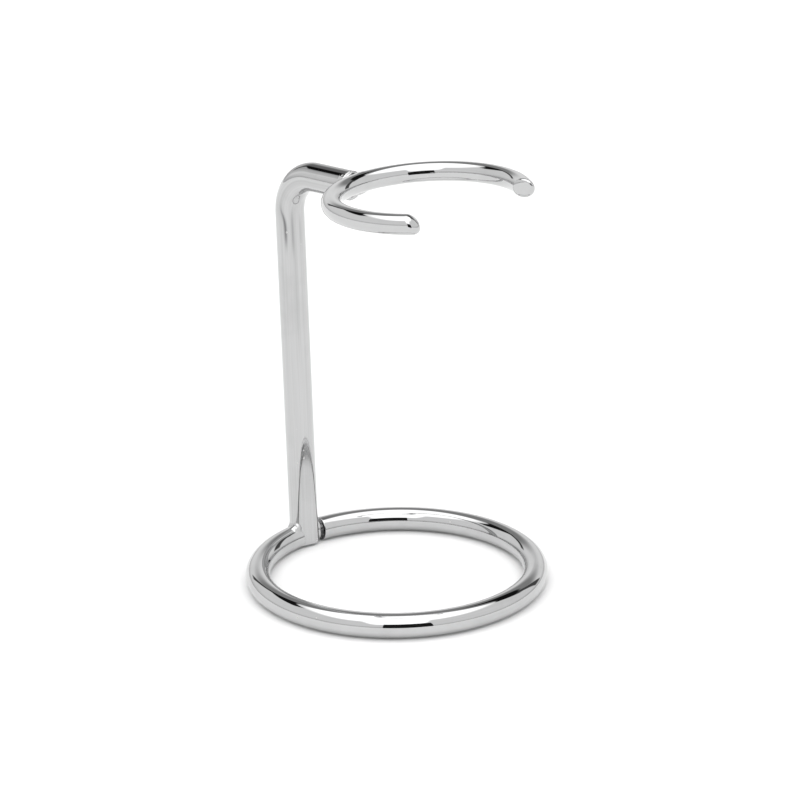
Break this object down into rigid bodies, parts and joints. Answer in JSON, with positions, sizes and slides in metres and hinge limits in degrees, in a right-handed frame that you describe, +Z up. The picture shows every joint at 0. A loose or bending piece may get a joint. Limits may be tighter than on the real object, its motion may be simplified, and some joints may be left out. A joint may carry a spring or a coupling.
{
  "type": "shaving brush stand",
  "caption": "Bent-rod shaving brush stand: ring base, upright post bent over into a short arm, and an open ring with domed ends that holds a brush hanging by its handle.",
  "frame": {"origin": "on the surface the stand rests on, at the middle of its footprint: the base ring's centre is 1.14 mm in front of it, because the leaning post's bend overhangs the ring at the back", "axes": "+Z up; +Y towards the back, where the post stands; the brush ring opens towards -Y; +X to the right of somebody who faces the opening from the front and looks along +Y"},
  "size_m": [0.062, 0.0642, 0.0865],
  "materials": {
    "chrome_rod": "bright chrome plate on polished steel rod, with faint draw lines along the rod",
    "chrome_braze": "bright chrome plate over braze, a little rippled and pitted"
  },
  "bodies": {
    "root": {"base_ring": "chrome_rod", "post": "chrome_rod", "brush_ring": "chrome_rod", "foot_braze_right": "chrome_braze", "foot_braze_left": "chrome_braze", "arm_braze": "chrome_braze"}
  },
  "joints": []
}
